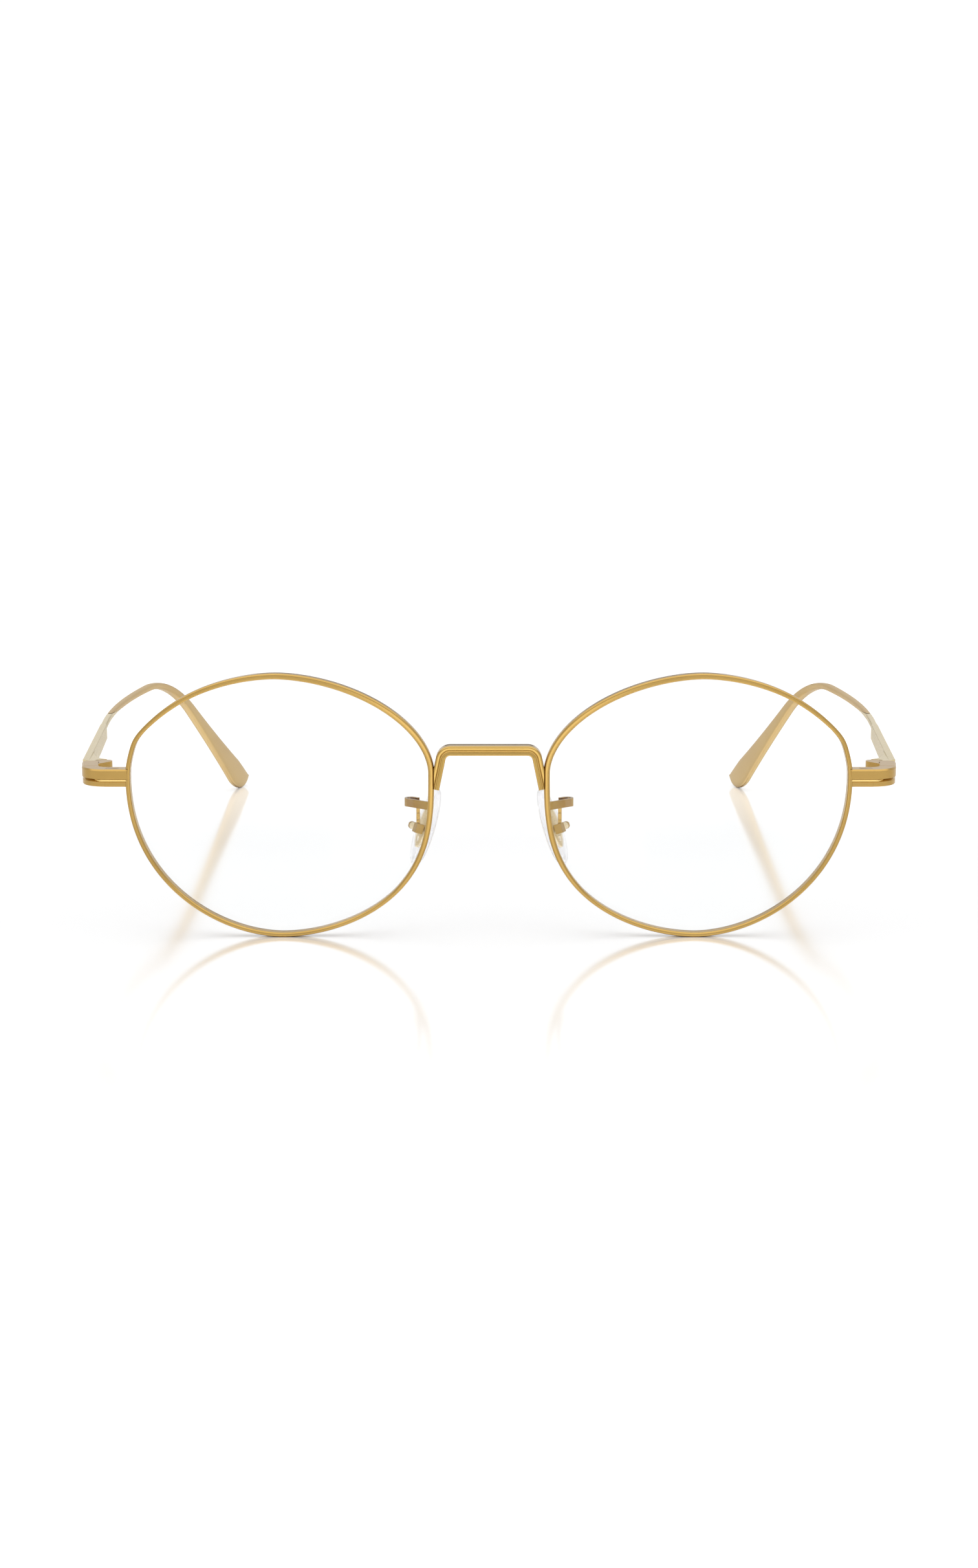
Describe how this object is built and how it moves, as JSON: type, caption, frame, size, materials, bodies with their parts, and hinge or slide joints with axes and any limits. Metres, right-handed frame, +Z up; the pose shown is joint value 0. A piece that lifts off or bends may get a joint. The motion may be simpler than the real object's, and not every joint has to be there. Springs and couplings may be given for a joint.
{
  "type": "eyeglasses",
  "caption": "Round full-rim metal eyeglasses with a ribbed square bridge, two-tier end pieces, hinged folding temples, flattened temple tips and clear rocking nose pads.",
  "frame": {"origin": "middle of the box of the open glasses, at the level of the table they stand on", "axes": "+X towards the wearer's left, +Y from the lenses to the temple tips, +Z up"},
  "size_m": [0.1458, 0.1456, 0.0441],
  "materials": {
    "rim_metal": "polished pale gold",
    "bridge_metal": "polished gold",
    "temple_metal": "satin pale gold",
    "tip_satin": "satin beige gold",
    "fitting_metal": "polished gold",
    "screw_metal": "polished gold",
    "lens_clear": "clear, coated",
    "pad_clear": "clear, soft"
  },
  "bodies": {
    "front": {"bridge": "bridge_metal", "rim_left": "rim_metal", "rim_right": "rim_metal", "lens_left": "lens_clear", "lens_right": "lens_clear", "end_piece_left": "rim_metal", "end_piece_right": "rim_metal", "closing_block_left": "rim_metal", "closing_block_right": "rim_metal", "closing_screw_left": "screw_metal", "closing_screw_right": "screw_metal", "hinge_screw_left": "screw_metal", "hinge_screw_right": "screw_metal", "pad_arm_left": "fitting_metal", "pad_arm_right": "fitting_metal", "pad_screw_left": "screw_metal", "pad_screw_right": "screw_metal"},
    "temple_body_left": {"temple_left": "temple_metal", "temple_tip_left": "tip_satin"},
    "temple_body_right": {"temple_right": "temple_metal", "temple_tip_right": "tip_satin"},
    "pad_body_left": {"nose_pad_left": "pad_clear", "pad_leaf_left": "fitting_metal"},
    "pad_body_right": {"nose_pad_right": "pad_clear", "pad_leaf_right": "fitting_metal"}
  },
  "joints": [
    {"name": "temple_fold_left", "type": "hinge", "parent": "front", "child": "temple_body_left", "pos_m": [0.06485, -0.06131, 0.0266], "axis": [0, 0, 1], "range_deg": [0, 90]},
    {"name": "temple_fold_right", "type": "hinge", "parent": "front", "child": "temple_body_right", "pos_m": [-0.06485, -0.06131, 0.0266], "axis": [0, 0, -1], "range_deg": [0, 84]},
    {"name": "pad_rock_left", "type": "hinge", "parent": "front", "child": "pad_body_left", "pos_m": [0.01255, -0.0622, 0.01701], "axis": [0.3907, 0.9205, 0], "range_deg": [-8, 8]},
    {"name": "pad_rock_right", "type": "hinge", "parent": "front", "child": "pad_body_right", "pos_m": [-0.01255, -0.0622, 0.01701], "axis": [-0.3907, 0.9205, 0], "range_deg": [-8, 8]}
  ]
}
